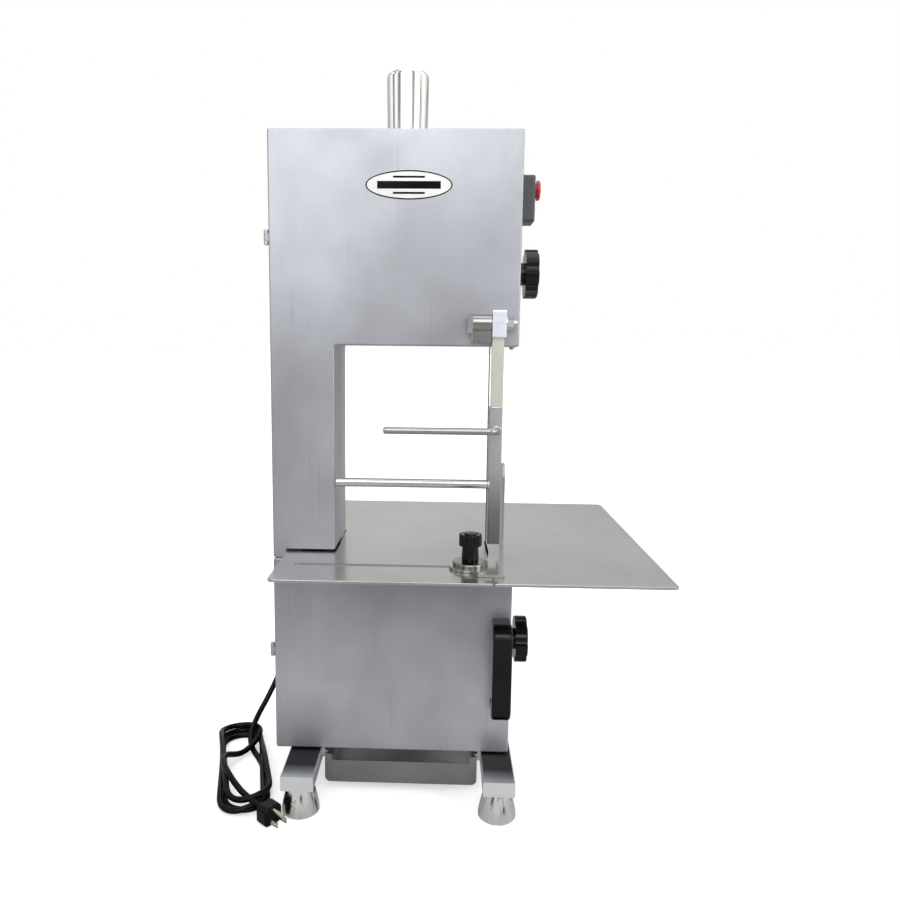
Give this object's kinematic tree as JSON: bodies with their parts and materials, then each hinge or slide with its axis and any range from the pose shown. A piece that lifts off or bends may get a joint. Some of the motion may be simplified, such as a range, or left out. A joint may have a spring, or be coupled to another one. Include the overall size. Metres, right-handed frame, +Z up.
{
  "type": "butcher bone saw",
  "caption": "Table-top band saw for cutting bone: C-shaped steel body with two hinged doors, table with sliding gauge, swinging pusher arm, waste tray and motor.",
  "frame": {"origin": "on the floor under the middle of the machine, cord left out", "axes": "+X to the operator's right, +Y away from the operator, +Z up"},
  "size_m": [0.5563, 0.414, 0.888],
  "materials": {
    "door_steel": "satin brushed stainless steel, slightly clouded",
    "frame_steel": "satin stainless steel",
    "table_steel": "brushed stainless steel, warm grey",
    "arm_steel": "satin stainless steel",
    "bar_steel": "smooth ground stainless steel",
    "base_steel": "brushed stainless steel bar",
    "tray_steel": "dull folded stainless sheet",
    "chrome": "polished",
    "fastener": "bright turned steel",
    "blade_steel": "dark blued spring steel",
    "black_plastic": "glossy moulded plastic",
    "guide_plastic": "white machined plastic",
    "cast_wheel": "turned casting",
    "bronze": "turned bronze",
    "motor_paint": "grey enamel",
    "switch_grey": "grey moulded plastic",
    "stop_red": "red moulded plastic",
    "start_green": "green moulded plastic",
    "label_white": "blank white film with a black rim",
    "cord_black": "black cable sheath",
    "pin_metal": "plated blades"
  },
  "bodies": {
    "root": {"frame_shell": "frame_steel", "guide_rails": "fastener", "screw_bush": "bronze", "bearing_housing": "cast_wheel", "motor_body": "motor_paint", "fan_cover": "motor_paint", "terminal_box": "motor_paint", "frame_bolts": "fastener", "saw_blade": "blade_steel", "upper_blade_guide": "guide_plastic", "lower_blade_guide": "guide_plastic", "wheel_scrapers": "guide_plastic", "hinge_straps": "frame_steel", "hinge_pins": "fastener", "latch_catches": "frame_steel", "table_plate": "table_steel", "table_rails": "frame_steel", "foot_bars": "base_steel", "cone_feet": "chrome", "tray_rails": "frame_steel", "switch_box": "switch_grey", "cord_gland": "cord_black", "strain_relief": "cord_black", "cord_tube": "cord_black", "cord_hank": "cord_black", "plug_body": "cord_black", "plug_pins": "pin_metal"},
    "carriage": {"tension_carriage": "fastener", "upper_axle": "fastener"},
    "tension_screw": {"tension_screw": "fastener", "tension_knob": "chrome"},
    "upper_wheel": {"upper_wheel": "cast_wheel", "upper_bearings": "fastener"},
    "lower_wheel": {"lower_wheel": "cast_wheel", "motor_shaft": "fastener", "motor_fan": "black_plastic"},
    "upper_door": {"upper_door": "door_steel", "oval_label": "label_white", "pivot_boss": "arm_steel", "pivot_bolt": "fastener", "pivot_nut": "fastener"},
    "lower_door": {"lower_door": "door_steel", "door_handle": "black_plastic", "handle_screws": "fastener"},
    "upper_latch": {"upper_latch_knob": "black_plastic", "upper_latch_stud": "fastener"},
    "lower_latch": {"lower_latch_knob": "black_plastic", "lower_latch_stud": "fastener"},
    "pusher_arm": {"arm_knuckle": "arm_steel", "arm_bar": "bar_steel", "arm_channel": "arm_steel", "handle_rod": "fastener", "pusher_rod": "fastener"},
    "gauge": {"gauge_fence": "table_steel", "gauge_disc": "chrome"},
    "gauge_clamp": {"gauge_knob": "black_plastic", "gauge_stud": "fastener"},
    "tray": {"waste_tray": "tray_steel"},
    "stop": {"stop_button": "stop_red"},
    "start": {"start_button": "start_green"}
  },
  "joints": [
    {"name": "upper_door_hinge", "type": "hinge", "parent": "root", "child": "upper_door", "pos_m": [-0.2272, -0.0885, 0.6815], "axis": [0, 0, -1], "range_deg": [0, 110]},
    {"name": "lower_door_hinge", "type": "hinge", "parent": "root", "child": "lower_door", "pos_m": [-0.2272, -0.0885, 0.185], "axis": [0, 0, -1], "range_deg": [0, 110]},
    {"name": "upper_latch_turn", "type": "hinge", "parent": "upper_door", "child": "upper_latch", "pos_m": [0.08, -0.062, 0.644], "axis": [1, 0, 0], "range_deg": [0, 360]},
    {"name": "lower_latch_turn", "type": "hinge", "parent": "lower_door", "child": "lower_latch", "pos_m": [0.08, -0.062, 0.195], "axis": [1, 0, 0], "range_deg": [0, 360]},
    {"name": "pusher_swing", "type": "hinge", "parent": "upper_door", "child": "pusher_arm", "pos_m": [0.04, -0.107, 0.5855], "axis": [1, 0, 0], "range_deg": [-70, 12]},
    {"name": "gauge_slide", "type": "slide", "parent": "root", "child": "gauge", "axis": [1, 0, 0], "range_m": [-0.185, 0.003]},
    {"name": "gauge_knob_turn", "type": "hinge", "parent": "gauge", "child": "gauge_clamp", "pos_m": [0.012, -0.148, 0.33], "axis": [0, 0, 1], "range_deg": [0, 360]},
    {"name": "tray_slide", "type": "slide", "parent": "root", "child": "tray", "axis": [0, -1, 0], "range_m": [0, 0.18]},
    {"name": "tension_turn", "type": "hinge", "parent": "root", "child": "tension_screw", "pos_m": [-0.069, -0.003, 0.8], "axis": [0, 0, 1], "range_deg": [0, 1080]},
    {"name": "carriage_slide", "type": "slide", "parent": "root", "child": "carriage", "axis": [0, 0, 1], "range_m": [-0.0046, 0]},
    {"name": "lower_wheel_spin", "type": "hinge", "parent": "root", "child": "lower_wheel", "pos_m": [-0.069, -0.043, 0.177], "axis": [0, 1, 0], "continuous": true},
    {"name": "upper_wheel_spin", "type": "hinge", "parent": "carriage", "child": "upper_wheel", "pos_m": [-0.069, -0.043, 0.672], "axis": [0, 1, 0], "continuous": true},
    {"name": "stop_press", "type": "slide", "parent": "root", "child": "stop", "axis": [-1, 0, 0], "range_m": [0, 0.003], "stiffness_N_per_m": 600},
    {"name": "start_press", "type": "slide", "parent": "root", "child": "start", "axis": [-1, 0, 0], "range_m": [0, 0.003], "stiffness_N_per_m": 600}
  ],
  "couplings": [
    {"joint": "carriage_slide", "follows": "tension_turn", "m_per_rad": -0.00023873},
    {"joint": "upper_wheel_spin", "follows": "lower_wheel_spin", "ratio": 1}
  ]
}
